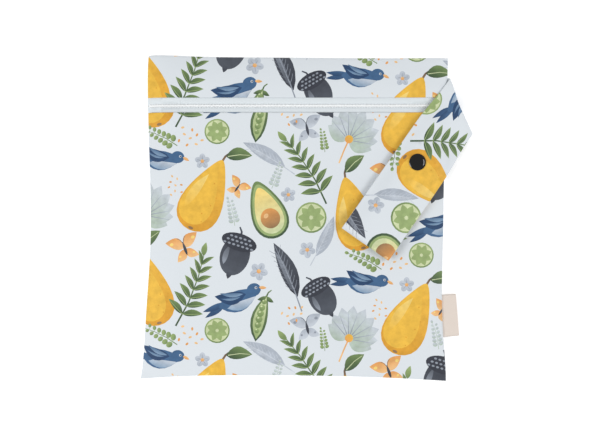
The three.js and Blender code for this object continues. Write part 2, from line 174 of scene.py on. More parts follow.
def panel_layout(bottom, top, close_bottom, close_top):
    """The outline of a panel, the lines along its edges and the dots between them."""
    (x0, y0), (x1, y1) = corner(left_edge, bottom), corner(right_edge, bottom)
    (x2, y2), (x3, y3) = corner(right_edge, top), corner(left_edge, top)
    outline = np.concatenate([
        end_line(bottom, 0, x0, x1)[:-1],
        side_line(right_edge, 0, y1, y2)[:-1],
        end_line(top, 0, x3, x2)[::-1][:-1],
        side_line(left_edge, 0, y0, y3)[::-1][:-1],
    ])
    lines = []
    for d in EDGE_LINES_MM:
        lines.append(side_line(left_edge, d, y0 + d, y3 - d))
        lines.append(side_line(right_edge, -d, y1 + d, y2 - d))
        if d <= close_bottom:
            lines.append(end_line(bottom, d, x0 + d, x1 - d))
        if d <= close_top:
            lines.append(end_line(top, -d, x3 + d, x2 - d))
    far = EDGE_LINES_MM[-1]
    across = np.arange(x0 + far, x1 - far, GRID_MM)
    up = np.arange(
        y0 + min(close_bottom, far) + GRID_MM, y3 - min(close_top, far) - GRID_MM / 2, GRID_MM
    )
    dots = np.stack(np.meshgrid(across, up), -1).reshape(-1, 2)
    return outline, lines, dots


# The print on the cloth: fruit, birds and leaves, painted loosely in a few flat layers. Each
# shape is a closed outline in millimetres, with the colour at its lower and upper end.
YELLOW, DEEP_YELLOW, PALE_YELLOW = (226, 178, 68), (210, 150, 50), (234, 204, 118)
GREEN, DARK_GREEN, LIME, PALE_LIME = (110, 132, 84), (62, 82, 60), (146, 166, 110), (198, 208, 164)
BLUE, DARK_BLUE, LIGHT_BLUE = (64, 96, 132), (42, 68, 102), (126, 152, 178)
CHARCOAL, DARK_CHARCOAL, GREY = (80, 85, 94), (54, 57, 66), (138, 145, 156)
PALE_GREY, PALER_GREY, PALE_GREEN = (166, 174, 185), (190, 197, 206), (168, 184, 168)
ORANGE, PALE_ORANGE, BROWN = (218, 152, 86), (228, 184, 130), (142, 112, 80)
ROUND = 22


def ellipse(x, y, wide, high, turn=0.0):
    t = np.linspace(0, 2 * np.pi, ROUND, endpoint=False)
    c, s = math.cos(math.radians(turn)), math.sin(math.radians(turn))
    a, b = np.cos(t) * wide / 2, np.sin(t) * high / 2
    return np.stack([x + a * c - b * s, y + a * s + b * c], 1)


def leaf(start, end, wide, bend=0.0):
    """A pointed leaf from one point to another, bent to its left."""
    start, end = np.array(start, float), np.array(end, float)
    along = end - start
    left = np.array([-along[1], along[0]]) / np.linalg.norm(along)
    t = np.linspace(0, 1, 8)[:, None]
    middle = start + along * t + left * bend * np.sin(np.pi * t)
    half = left * wide / 2 * np.sin(np.pi * t**0.85) ** 0.9
    return np.concatenate([middle - half, (middle + half)[-2:0:-1]])


def twig(points, wide, thin):
    """A stem through some points that thins towards its end."""
    points = np.array(points, float)
    way = np.gradient(points, axis=0)
    left = np.stack([-way[:, 1], way[:, 0]], 1) / np.linalg.norm(way, axis=1)[:, None]
    half = left * np.linspace(wide, thin, len(points))[:, None] / 2
    return np.concatenate([points - half, (points + half)[::-1]])


def drop(x, y, wide, high, neck):
    """A fruit with a narrow top. neck is how wide the top is beside the bottom."""
    t = np.linspace(0, 2 * np.pi, ROUND + 8, endpoint=False)
    side = (1 + neck) / 2 - (1 - neck) / 2 * np.cos(t)
    return np.stack([x + np.sin(-t) * side * wide / 2, y + np.cos(t) * high / 2], 1)


def spoke(degrees, reach, y=0):
    """The end of a spoke of a round motif whose middle is at the height y."""
    turn = math.radians(degrees)
    return reach * math.cos(turn), y + reach * math.sin(turn)


def pear():
    return [
        (twig([(0, 20), (0.6, 25), (3, 29.5)], 1.6, 1.1), BROWN, DARK_CHARCOAL),
        (leaf((1, 25), (16, 33), 8.5, 1.5), DARK_GREEN, GREEN),
        (twig([(2, 25.6), (8.5, 30), (14.5, 32.4)], 0.5, 0.3), PALE_LIME, PALE_LIME),
        (drop(0, -3, 39, 50, 0.3), DEEP_YELLOW, YELLOW),
        (drop(-2.4, -3.5, 30, 42, 0.28), YELLOW, YELLOW),
        (leaf((-9, -16), (-4, 10), 6, 1), YELLOW, PALE_YELLOW),
        (ellipse(0.6, -26.4, 3.4, 1.8), BROWN, BROWN),
        *[(ellipse(x, y, 0.9, 0.9), DEEP_YELLOW, DEEP_YELLOW)
          for x, y in [(6, -8), (9, -14), (3, -15), (7, -2), (2, 6), (11, -9), (5, -20)]],
    ]


def avocado():
    return [
        (drop(0, 0, 30, 38, 0.42), DARK_GREEN, GREEN),
        (drop(0, -0.3, 26.4, 34.4, 0.42), LIME, LIME),
        (drop(0, -0.6, 22.5, 30.5, 0.42), PALE_LIME, PALE_YELLOW),
        (ellipse(0, -6, 12.4, 12.8), BROWN, ORANGE),
        (ellipse(-2, -3.6, 3.4, 2.6, 30), PALE_ORANGE, PALE_ORANGE),
    ]


def fern():
    shapes = [(twig([(0, -26), (1.5, -8), (0.5, 10), (-2, 25)], 1.2, 0.5), DARK_GREEN, GREEN)]
    for k in range(7):
        y = -17 + 5.8 * k
        reach = 12.5 - 1.15 * k
        lift = 5.5 + 0.5 * k
        for way in (-1, 1):
            root = (1.1 - 0.012 * (y + 8) ** 2 / 4, y)
            tip = (root[0] + way * reach, y + lift)
            shapes.append((leaf(root, tip, 4.6 - 0.3 * k, way * 0.8), DARK_GREEN, GREEN))
            middle = ((root[0] + tip[0]) / 2, (y + tip[1]) / 2 - 0.2)
            shapes.append((twig([root, middle, tip], 0.45, 0.25), LIME, LIME))
    shapes.append((leaf((-2, 24), (-4, 33), 4, 0.4), GREEN, LIME))
    return shapes


def bird():
    return [
        (leaf((-9, -1), (-25, -9), 4.4, 0.5), DARK_BLUE, BLUE),
        (leaf((-9, 0), (-26, -4.5), 4.4, 0.5), DARK_BLUE, BLUE),
        (leaf((-14, -3), (17, 6), 15.5, -1.5), BLUE, BLUE),
        (leaf((-8, -4.6), (14, 1.5), 6.4, -2), LIGHT_BLUE, PALER_GREY),
        (ellipse(13, 6.4, 10.5, 9.4, 15), BLUE, BLUE),
        (leaf((17, 7.6), (22.5, 6.4), 2.4, 0), ORANGE, PALE_ORANGE),
        (leaf((7, 4), (-16, 5.5), 9.5, 2.5), DARK_BLUE, DARK_BLUE),
        (leaf((5, 4.4), (-12, 7.2), 3, 1.2), LIGHT_BLUE, BLUE),
        (leaf((3, 2.6), (-12, 3.2), 1.8, 1.2), LIGHT_BLUE, BLUE),
        (ellipse(14.8, 7.6, 2, 2), PALER_GREY, PALER_GREY),
        (ellipse(15, 7.6, 1.1, 1.1), DARK_CHARCOAL, DARK_CHARCOAL),
    ]


def acorn():
    shapes = [
        (twig([(0, 12), (-0.6, 16), (-3, 19)], 1.8, 1.1), DARK_CHARCOAL, CHARCOAL),
        (drop(0, -2.5, 22, 30, 1.0), CHARCOAL, DARK_CHARCOAL),
        (leaf((0, -14), (0, -20.5), 4, 0), DARK_CHARCOAL, CHARCOAL),
        (leaf((-6.4, -11), (-6, 4), 4, 0.6), GREY, CHARCOAL),
        (ellipse(0, 8, 27, 13), DARK_CHARCOAL, DARK_CHARCOAL),
    ]
    for row in range(3):
        for k in range(7 - row):
            x = (k - (6 - row) / 2) * 3.5
            shapes.append((ellipse(x, 5.4 + row * 2.9, 2.3, 1.5), GREY, GREY))
    return shapes


def feather(dark, mid, light):
    shapes = [
        (leaf((0, -17), (3, 27), 12.5, -1.6), dark, mid),
        (leaf((-1.2, -12), (0.8, 22), 4, -1), mid, light),
        (twig([(-2.4, -28), (0, -12), (1.6, 6), (2.8, 24)], 1.1, 0.4), light, light),
    ]
    for k in range(8):
        y = -11 + 4.1 * k
        x = 0.3 + 0.055 * (y + 12)
        shapes.append((twig([(x, y), (x + 2.6, y + 2.4), (x + 5, y + 5.6)], 0.4, 0.25), light, light))
        shapes.append((twig([(x, y), (x - 2.6, y + 2.4), (x - 4.6, y + 5.6)], 0.4, 0.25), mid, light))
    return shapes


def ginkgo():
    shapes = [(twig([(2, -22), (0.8, -14), (0, -6)], 1.0, 0.8), PALE_ORANGE, ORANGE)]
    for k in range(9):
        tip = spoke(90 + (k - 4) * 21, 21 - 0.35 * (k - 4) ** 2, -7)
        shapes.append((leaf((0, -7), tip, 10.5, 0), PALE_GREEN, PALER_GREY))
    for k in range(8):
        vein = [spoke(90 + (k - 3.5) * 20, reach, -7) for reach in (3, 9, 15.5)]
        shapes.append((twig(vein, 0.6, 0.3), GREY, PALE_GREY))
    shapes.append((ellipse(0, -6.4, 5, 5), ORANGE, YELLOW))
    return shapes


def pea_pod():
    shapes = [
        (twig([(0, 17), (0.6, 20), (2.6, 22.5)], 1.3, 0.9), DARK_GREEN, GREEN),
        (leaf((0, -20), (0, 18.5), 13, 1.5), DARK_GREEN, GREEN),
        (leaf((0, -18), (0, 16.5), 9, 1.5), LIME, PALE_LIME),
        (leaf((0, 16.5), (-6.5, 12.5), 3.4, 0.5), DARK_GREEN, GREEN),
        (leaf((0, 16.5), (6.5, 13.5), 3.4, -0.5), DARK_GREEN, GREEN),
    ]
    for k in range(6):
        y = -11.5 + 4.7 * k
        wide = 5.6 - 0.28 * (k - 2.5) ** 2
        x = -1.5 * math.cos(y / 12)
        shapes.append((ellipse(x, y, wide, wide), GREEN, LIME))
        shapes.append((ellipse(x - 0.8, y + 0.9, wide / 3, wide / 4, 30), PALE_LIME, PALE_LIME))
    return shapes


def round_leaves(dark, light):
    """A sprig with round leaves in pairs."""
    shapes = [(twig([(0, -20), (1.2, -6), (0.4, 8), (-1.6, 19)], 1.0, 0.5), dark, dark)]
    for k in range(6):
        y = -14 + 5.6 * k
        size = 7.2 - 0.6 * k
        for way in (-1, 1):
            x = 0.6 + way * (size / 2 + 0.9)
            shapes.append((ellipse(x, y + 1.6, size, size * 0.82, way * 28), dark, light))
            shapes.append((twig([(0.7, y), (x, y + 1.6), (x + way * size / 4, y + 2.6)], 0.4, 0.25),
                           light, light))
    shapes.append((ellipse(-1.8, 21, 3.4, 4.4, 10), dark, light))
    return shapes


def blossom():
    shapes = []
    for k in range(5):
        x, y = spoke(90 + 72 * k, 5.2)
        shapes.append((ellipse(x, y, 8.6, 7.2, 90 + 72 * k), PALE_GREY, PALER_GREY))
        shapes.append((twig([(0, 0), (x * 0.6, y * 0.6), (x * 1.3, y * 1.3)], 0.8, 0.3), GREY, GREY))
    return shapes + [(ellipse(0, 0, 4.4, 4.4), ORANGE, PALE_ORANGE)]


def lime_slice():
    shapes = [
        (ellipse(0, 0, 23, 23), GREEN, LIME),
        (ellipse(0, 0, 20.4, 20.4), PALE_LIME, PALE_LIME),
    ]
    for k in range(8):
        shapes.append((leaf(spoke(k * 45, 1.2), spoke(k * 45, 10), 5.6, 0), LIME, LIME))
    return shapes


def flutter(dark, light, spot):
    """A small moth or butterfly."""
    shapes = []
    for way in (-1, 1):
        shapes.append((leaf((0, 0.5), (way * 12.5, 8.5), 8.5, way * 1.5), light, dark))
        shapes.append((leaf((0, -0.5), (way * 8.5, -8), 6.5, -way * 1), light, dark))
        shapes.append((ellipse(way * 8.4, 6, 2.8, 2.2), spot, spot))
        shapes.append((ellipse(way * 5.4, -4.8, 1.8, 1.6), spot, spot))
        shapes.append((twig([(0, 4), (way * 1.6, 7.4), (way * 3.4, 9)], 0.4, 0.3), CHARCOAL, CHARCOAL))
    shapes.append((leaf((0, -5.5), (0, 5.5), 2.2, 0), DARK_CHARCOAL, CHARCOAL))
    return shapes


def seeds():
    """A loose handful of seeds."""
    return [
        (ellipse(x, y, 2.6, 1.6, turn), colour, colour)
        for x, y, turn, colour in [
            (0, 0, 20, PALE_ORANGE), (5, 2.5, 60, ORANGE), (-4.4, 3, -30, PALE_ORANGE),
            (1.5, 6.2, 90, ORANGE), (-2.4, -5, 45, ORANGE), (4.4, -4.4, -20, PALE_ORANGE),
            (8.8, -1.5, 10, PALE_ORANGE), (-8.4, -1.8, 75, ORANGE), (-5.6, 8, 15, PALE_ORANGE),
        ]
    ]


dark_feather = partial(feather, DARK_CHARCOAL, CHARCOAL, GREY)
pale_feather = partial(feather, PALE_GREY, PALE_GREY, PALER_GREY)
pale_sprig = partial(round_leaves, PALE_GREEN, PALER_GREY)
green_sprig = partial(round_leaves, GREEN, LIME)
butterfly = partial(flutter, ORANGE, PALE_ORANGE, PALE_YELLOW)
moth = partial(flutter, PALE_GREY, PALER_GREY, GREY)

# One repeat of the print: which motif, where it sits, how it is turned and how large it is
REPEAT_WIDE_MM = 152
REPEAT_HIGH_MM = 148
REPEAT_DROP_MM = 56
MOTIF_REACH_MM = 40
REPEAT = [
    (pear, 26, 34, 14, 1.12),
    (fern, 58, 30, -24, 1.12),
    (bird, 92, 22, 8, 1.02),
    (dark_feather, 129, 40, 28, 1.0),
    (acorn, 91, 58, -18, 1.0),
    (butterfly, 53, 61, 20, 1.0),
    (ginkgo, 27, 93, -30, 1.22),
    (pear, 70, 104, -26, 1.15),
    (avocado, 114, 90, 22, 1.18),
    (lime_slice, 147, 84, 0, 1.0),
    (fern, 144, 119, 30, 1.1),
    (pale_feather, 115, 128, 64, 0.82),
    (bird, 34, 127, -18, 0.95),
    (acorn, 2, 118, 30, 0.9),
    (blossom, 108, 44, -30, 0.72),
    (moth, 144, 150, 12, 0.95),
    (seeds, 57, 143, 0, 1.0),
    (seeds, 134, 12, 50, 0.9),
    (lime_slice, 77, 0, 20, 0.82),
    (butterfly, 92, 106, -35, 0.7),
    (seeds, 46, 108, 120, 0.8),
    (pale_feather, 3, 11, -20, 0.74),
    (pea_pod, 110, 10, -14, 0.94),
    (green_sprig, 35, -4, 62, 0.7),
    (pale_sprig, 88, 88, 12, 0.52),
    (blossom, 130, 101, 10, 0.6),
    (blossom, 144, 60, 40, 0.66),
    (pale_sprig, 121, 115, -20, 0.5),
    (green_sprig, 4, 85, 8, 0.42),
    (blossom, 66, 126, 0, 0.6),
]


def print_on(low, high, turn, shift_x, shift_y):
    """All shapes of the print that touch a flat piece, with the print turned and shifted."""
    low, high = np.array(low), np.array(high)
    centre, reach = (low + high) / 2, np.linalg.norm(high - low) / 2
    c, s = math.cos(math.radians(turn)), math.sin(math.radians(turn))
    spin = np.array([[c, s], [-s, c]])
    around = int(reach / min(REPEAT_WIDE_MM, REPEAT_HIGH_MM)) + 2
    painted = []
    for i in range(-around, around + 1):
        for j in range(-around, around + 1):
            home = np.array([
                i * REPEAT_WIDE_MM + shift_x, j * REPEAT_HIGH_MM + i * REPEAT_DROP_MM + shift_y
            ])
            for motif, x, y, motif_turn, size in REPEAT:
                mc, ms = math.cos(math.radians(motif_turn)), math.sin(math.radians(motif_turn))
                motif_spin = np.array([[mc, ms], [-ms, mc]])
                middle = (home + (x, y)) @ spin + centre
                if np.any(middle < low - MOTIF_REACH_MM) or np.any(middle > high + MOTIF_REACH_MM):
                    continue
                for shape, lower, upper in motif():
                    flat = shape @ motif_spin * size + home + (x, y)
                    flat = flat @ spin + centre
                    if np.all(flat.max(0) > low) and np.all(flat.min(0) < high):
                        foot = (0, shape[:, 1].min()) @ motif_spin * size + home + (x, y)
                        slope = (0, 1 / size / np.ptp(shape[:, 1])) @ motif_spin @ spin
                        painted.append(
                            (flat, foot @ spin + centre, slope, linear(lower), linear(upper))
                        )
    return painted


def printed_sheet(name, layout, painted, surface, both_faces=False):
    """A closed sheet of printed cloth. layout is its flat outline, the lines that the mesh
    keeps and the dots between them. surface gives the upper and lower face, in millimetres."""
    outline, lines, dots = layout
    points, edges, shapes = [], [], []

    def add(places):
        first = len(points)
        points.extend(Vector(place) for place in places)
        return list(range(first, len(points)))

    shapes.append(add(outline))
    for flat, *_ in painted:
        shapes.append(add(flat))
    for line in lines:
        path = add(line)
        edges.extend(zip(path[:-1], path[1:]))
    add(dots)
    places, _, cells, _, _, within = delaunay_2d_cdt(points, edges, shapes, 1, MERGE_MM, True)
    flat = np.array(places)
    kept = [k for k, inside in enumerate(within) if 0 in inside]
    cells = np.array([cells[k] for k in kept])
    layers = [max(within[k]) for k in kept]

    tint = np.tile(linear(GROUND), (len(cells), 3, 1))
    for k, layer in enumerate(layers):
        if layer:
            _, start, slope, lower, upper = painted[layer - 1]
            corners = flat[cells[k]]
            t = np.clip((corners - start) @ slope, 0, 1)[:, None]
            tint[k] = lower * (1 - t) + upper * t

    used, cells = np.unique(cells, return_inverse=True)
    cells = cells.reshape(-1, 3)
    upper_face, lower_face = surface(flat[used])
    count = len(used)
    sides = np.concatenate([cells[:, [0, 1]], cells[:, [1, 2]], cells[:, [2, 0]]])
    keys = np.sort(sides, 1)
    _, first, times = np.unique(keys, axis=0, return_index=True, return_counts=True)
    rim = sides[first[times == 1]]
    faces = cells.tolist() + (cells[:, ::-1] + count).tolist()
    faces += [[b, a, a + count, b + count] for a, b in rim.tolist()]
    mesh = bpy.data.meshes.new(name)
    mesh.from_pydata((np.concatenate([upper_face, lower_face]) * MM).tolist(), [], faces)
    mesh.shade_smooth()
    under = tint[:, ::-1] if both_faces else np.tile(linear(INSIDE), (len(cells), 3, 1))
    rim_tint = np.tile(linear(GROUND), (len(rim) * 4, 1))
    colours = np.concatenate([tint.reshape(-1, 3), under.reshape(-1, 3), rim_tint])
    paint = np.repeat(np.sign(layers), 3)
    bare = np.zeros(len(rim) * 4)
    paint = np.concatenate([paint, paint if both_faces else 0 * paint, bare])
    colours = np.concatenate([colours, paint[:, None]], 1)
    layer = mesh.color_attributes.new("print", "FLOAT_COLOR", "CORNER")
    layer.data.foreach_set("color", colours.astype(np.float32).ravel())
    mesh.update()
    return placed(name, mesh)


def ripple(points, size, height, seed):
    """Soft uneven waves of about one size."""
    return np.array([
        height * noise.noise(Vector((x / size, y / size, seed))) for x, y in points
    ])


def rolled(inside):
    """How far a sheet's face curls towards the seam at its edge, as a share."""
    t = np.clip(inside / EDGE_ROLL_MM, 0, 1)
    return 1 - np.sqrt(np.clip(1 - (1 - t) ** 2, 0, 1))


def back_surface(points):
    x, y = points.T
    inside = insides(x, y).min(0)
    rise = SEAM_RISE_MM * (1 - smooth(0, BACK_ROLL_MM, inside))
    under = rise + (SEAM_Z_MM - SEAM_GAP_MM - rise) * rolled(inside)
    thick = CLOTH_MM * smooth(-EDGE_THIN_MM, EDGE_ROLL_MM, inside)
    return np.stack([x, y, under + thick], 1), np.stack([x, y, under], 1)


def set_inputs(node, values):
    """Sets some of a node's inputs by their names."""
    for name, value in values.items():
        node.inputs[name].default_value = value


def new_material(name):
    """A new material, with its nodes, its links and its shader."""
    material = bpy.data.materials.new(name)
    material.use_nodes = True
    tree = material.node_tree
    return material, tree.nodes, tree.links, tree.nodes["Principled BSDF"]


def shade(material, shader, tone, relief, strength, distance):
    """Scales the base colour by a tone and raises the surface by a relief. It gives back the
    socket that takes the colour."""
    nodes, links = material.node_tree.nodes, material.node_tree.links
    vary = nodes.new("ShaderNodeVectorMath")
    vary.operation = "SCALE"
    links.new(tone, vary.inputs["Scale"])
    links.new(vary.outputs["Vector"], shader.inputs["Base Color"])
    bump = nodes.new("ShaderNodeBump")
    set_inputs(bump, {"Strength": strength, "Distance": distance})
    links.new(relief, bump.inputs["Height"])
    links.new(bump.outputs["Normal"], shader.inputs["Normal"])
    return vary.inputs[0]


def cloth_material(name):
    """Smooth knit: its printed colours, slightly uneven as paint is, over a fine weave."""
    material, nodes, links, shader = new_material(name)
    set_inputs(shader, {
        "Roughness": 0.62, "Sheen Weight": 0.15, "Sheen Roughness": 0.4, "Specular IOR Level": 0.3,
    })
    place = nodes.new("ShaderNodeTexCoord")
    colour = nodes.new("ShaderNodeAttribute")
    colour.attribute_name = "print"
    wash = nodes.new("ShaderNodeTexNoise")
    set_inputs(wash, {"Scale": 190, "Detail": 5, "Roughness": 0.6})
    links.new(place.outputs["Object"], wash.inputs["Vector"])
    depth = nodes.new("ShaderNodeMapRange")
    set_inputs(depth, {"From Min": 0.3, "From Max": 0.7, "To Min": 0.86, "To Max": 1.12})
    links.new(wash.outputs["Fac"], depth.inputs["Value"])
    painted = nodes.new("ShaderNodeMix")
    painted.inputs["A"].default_value = 1
    links.new(colour.outputs["Alpha"], painted.inputs["Factor"])
    links.new(depth.outputs["Result"], painted.inputs["B"])
    knit = nodes.new("ShaderNodeTexWave")
    set_inputs(knit, {"Scale": 420, "Distortion": 1.2, "Detail": 1})
    links.new(place.outputs["Object"], knit.inputs["Vector"])
    base = shade(material, shader, painted.outputs["Result"], knit.outputs["Fac"], 0.1, 0.0002)
    links.new(colour.outputs["Color"], base)
    return material


def dress(obj, material, slot, *nodes):
    """Gives a piece its material, hangs it on the root body and hides the solids it stands for."""
    obj.data.materials.clear()
    obj.data.materials.append(material)
    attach(obj, "root")
    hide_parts(*nodes)


printed_cloth = cloth_material("printed cloth")
back_low, back_high = mm_box("back_panel")
back_print = print_on(back_low[:2], back_high[:2], 0, -40, 21)
back_panel = printed_sheet(
    "back_panel_cloth", panel_layout(bottom_edge, top_edge, 24, 24), back_print, back_surface
)
dress(back_panel, printed_cloth, "printed_cloth", "back_panel")


# The front panel below the zip, of the same printed knit. It is sewn to the back round three
# sides, stands a little off it over the hollow, and its top edge is turned under and sewn to
# the zip's lower tape.
FRONT_SEAM_MM = 2.4
FRONT_CLOTH_MM = 1.1
FRONT_RISE_MM = 5.4
SHOULDER_MM = 24
HELD_CLEAR_MM = 0.6
HELD_STEP_MM = 8
HELD_FADE_MM = (5, 30)
FOLD_ROLL_MM = 0.9
FOLD_TUCK_MM = 0.5
THINNEST_MM = 0.02
# Each wave's length and height
WAVE_MM = (46, 0.8)
SMALL_WAVE_MM = (19, 0.22)
PUCKER_MM = (5.5, 0.5)
PUCKER_REACH_MM = 7
SAG_MM = 0.4
CALM_EDGE_MM = 22
CALM_ZIP_MM = (5, 24)

front_low, front_high = mm_box("front_panel")
upper_low, upper_high = mm_box("upper_front_panel")
label_low, label_high = mm_box("side_label")
lower_tape_low, lower_tape_high = mm_box("zip_lower_tape")
upper_tape_low, upper_tape_high = mm_box("zip_upper_tape")
zip_y = (lower_tape_high[1] + upper_tape_low[1]) / 2
strap_y = zip_y
STRAP_HALF_MM = 21.1
STRAP_GATHER_MM = 2.2
HELD_IN_SEAM = [
    (lower_tape_low[1], upper_tape_high[1], 1.3, True, True),
    (strap_y - STRAP_HALF_MM + STRAP_GATHER_MM, strap_y + STRAP_HALF_MM, 1.4, False, True),
    (label_low[1], label_high[1], 1.3, False, True),
]


def front_height(x, y):
    """The height of the front's outer face, without its small ripples."""
    inside = insides(x, y)
    pillow = np.prod(np.sin(np.pi / 2 * np.clip(inside / SHOULDER_MM, 0, 1)), axis=0)
    height = FRONT_SEAM_MM + FRONT_CLOTH_MM + FRONT_RISE_MM * pillow
    for low, high, thick, at_left, at_right in HELD_IN_SEAM:
        low, high = low - HELD_CLEAR_MM, high + HELD_CLEAR_MM
        window = smooth(low - HELD_STEP_MM, low, y) * (1 - smooth(high, high + HELD_STEP_MM, y))
        reach = at_left * (1 - smooth(*HELD_FADE_MM, inside[0]))
        reach = reach + at_right * (1 - smooth(*HELD_FADE_MM, inside[1]))
        height = height + thick * window * reach
    return height


def front_ripple(points):
    """Slack in the front: soft waves that sag between the seams and the zip, and small
    puckers that the seams draw in."""
    x, y = points.T
    edge = insides(x, y).min(0)
    puckers = np.exp(-np.clip(edge, 0, None) / PUCKER_REACH_MM) * ripple(points, *PUCKER_MM, 3)
    waves = ripple(points, *WAVE_MM, 1) + ripple(points, *SMALL_WAVE_MM, 2) - SAG_MM
    calm = smooth(0, CALM_EDGE_MM, edge) * smooth(*CALM_ZIP_MM, np.abs(y - zip_y))
    return waves * calm + puckers


def front_surface(fold_low, fold_high):
    """The faces of a front panel. fold_low and fold_high are its turned edges at the zip."""

    def surface(points):
        x, y = points.T
        inside = insides(x, y).min(0)
        full = front_height(x, y) + front_ripple(points)
        curl = rolled(inside)
        upper = full + (SEAM_Z_MM + SEAM_GAP_MM - full) * curl * (inside < EDGE_ROLL_MM)
        fold = np.minimum(np.abs(y - fold_low), np.abs(fold_high - y))
        t = np.clip(fold / FOLD_ROLL_MM, 0, 1)
        tuck = FOLD_TUCK_MM * (1 - np.sqrt(np.clip(1 - (1 - t) ** 2, 0, 1)))
        thick = CLOTH_MM * smooth(-EDGE_THIN_MM, EDGE_ROLL_MM, inside)
        lower = upper - thick
        upper = upper - tuck
        lower = np.minimum(lower, upper - THINNEST_MM)
        return np.stack([x, y, upper], 1), np.stack([x, y, lower], 1)

    return surface


NO_FOLD_MM = 1e4
front_print = print_on(front_low[:2], front_high[:2], 0, 18, -6)
front_panel = printed_sheet(
    "front_panel_cloth",
    panel_layout(bottom_edge, level(front_high[1]), 24, 2),
    front_print,
    front_surface(-NO_FOLD_MM, front_high[1]),
)
dress(front_panel, printed_cloth, "printed_cloth", "front_panel")


# The strip of front above the zip, cut from the same cloth. Its lower edge is turned under
# and sewn to the zip's upper tape, so the print starts afresh there.
upper_print = print_on(upper_low[:2], upper_high[:2], 0, 12, 20)
upper_panel = printed_sheet(
    "upper_front_panel_cloth",
    panel_layout(level(upper_low[1]), top_edge, 2, 12),
    upper_print,
    front_surface(upper_low[1], NO_FOLD_MM),
)
dress(upper_panel, printed_cloth, "printed_cloth", "upper_front_panel")


# The zip: two woven tapes, sewn under the turned edges of the front, that carry a closed coil.
# The tapes lie a little lower than the front and run into the side seams.
TAPE_DROP_MM = 1.4
TAPE_MM = 0.5
TAPE_COLOUR = (219, 226, 230)


def tape_surface(points):
    x, y = points.T
    inside = insides(x, y)[:2].min(0)
    full = front_height(x, y) - TAPE_DROP_MM
    upper = full + (SEAM_Z_MM + 2 * SEAM_GAP_MM - full) * rolled(inside)
    return np.stack([x, y, upper], 1), np.stack([x, y, upper - TAPE_MM], 1)


def woven_material(name, colour, rib_mm, roughness):
    """A woven tape: one colour, with ribs along and across it, and painted shade that darkens the
    colour a little in the hollows between the ribs.
    """
    material, nodes, links, shader = new_material(name)
    set_inputs(shader, {"Roughness": roughness, "Sheen Weight": 0.2, "Specular IOR Level": 0.25})
    place = nodes.new("ShaderNodeTexCoord")
    ribs = []
    for direction in ("X", "Y"):
        rib = nodes.new("ShaderNodeTexWave")
        rib.bands_direction = direction
        set_inputs(rib, {"Scale": 1 / (rib_mm * MM * 20 / (2 * math.pi)), "Distortion": 0.6})
        links.new(place.outputs["Object"], rib.inputs["Vector"])
        ribs.append(rib)
    weave = nodes.new("ShaderNodeMath")
    weave.operation = "MULTIPLY"
    links.new(ribs[0].outputs["Fac"], weave.inputs[0])
    links.new(ribs[1].outputs["Fac"], weave.inputs[1])
    # Painted shade: the colour follows the weave's relief, a little darker in its hollows and lighter
    # on its ribs.
    tone = nodes.new("ShaderNodeMapRange")
    set_inputs(tone, {"To Min": 0.93, "To Max": 1.03})
    links.new(weave.outputs["Value"], tone.inputs["Value"])
    base = shade(material, shader, tone.outputs["Result"], weave.outputs["Value"], 0.4, 0.0001)
    base.default_value = linear(colour)
    return material


tape_weave = woven_material("zip tape", TAPE_COLOUR, 0.9, 0.8)
for name, low_y, high_y, node in [
    ("zip_lower_tape_weave", lower_tape_low[1], lower_tape_high[1], "zip_lower_tape"),
    ("zip_upper_tape_weave", upper_tape_low[1], upper_tape_high[1], "zip_upper_tape"),
]:
    tape = printed_sheet(name, panel_layout(level(low_y), level(high_y), 0, 0), [], tape_surface)
    dress(tape, tape_weave, "zip_tape", node)


# The zip's coil: a nylon thread wound into two rows of turns that grip each other, sewn to
# the tapes by a row of stitches on each side. The zip is closed along its whole length.
COIL_END_MM = 1.5
TURN_PITCH_MM = 1.0
TURN_SIZE_MM = (0.98, 1.3, 1.1)
TURN_ASIDE_MM = 0.4
TURN_LIFT_MM = 0.45
STITCH_PITCH_MM = 2.0
STITCH_SIZE_MM = (1.8, 0.6, 0.5)
STITCH_ASIDE_MM = 1.25
STITCH_LIFT_MM = 0.02
ZIP_POINTS = 120


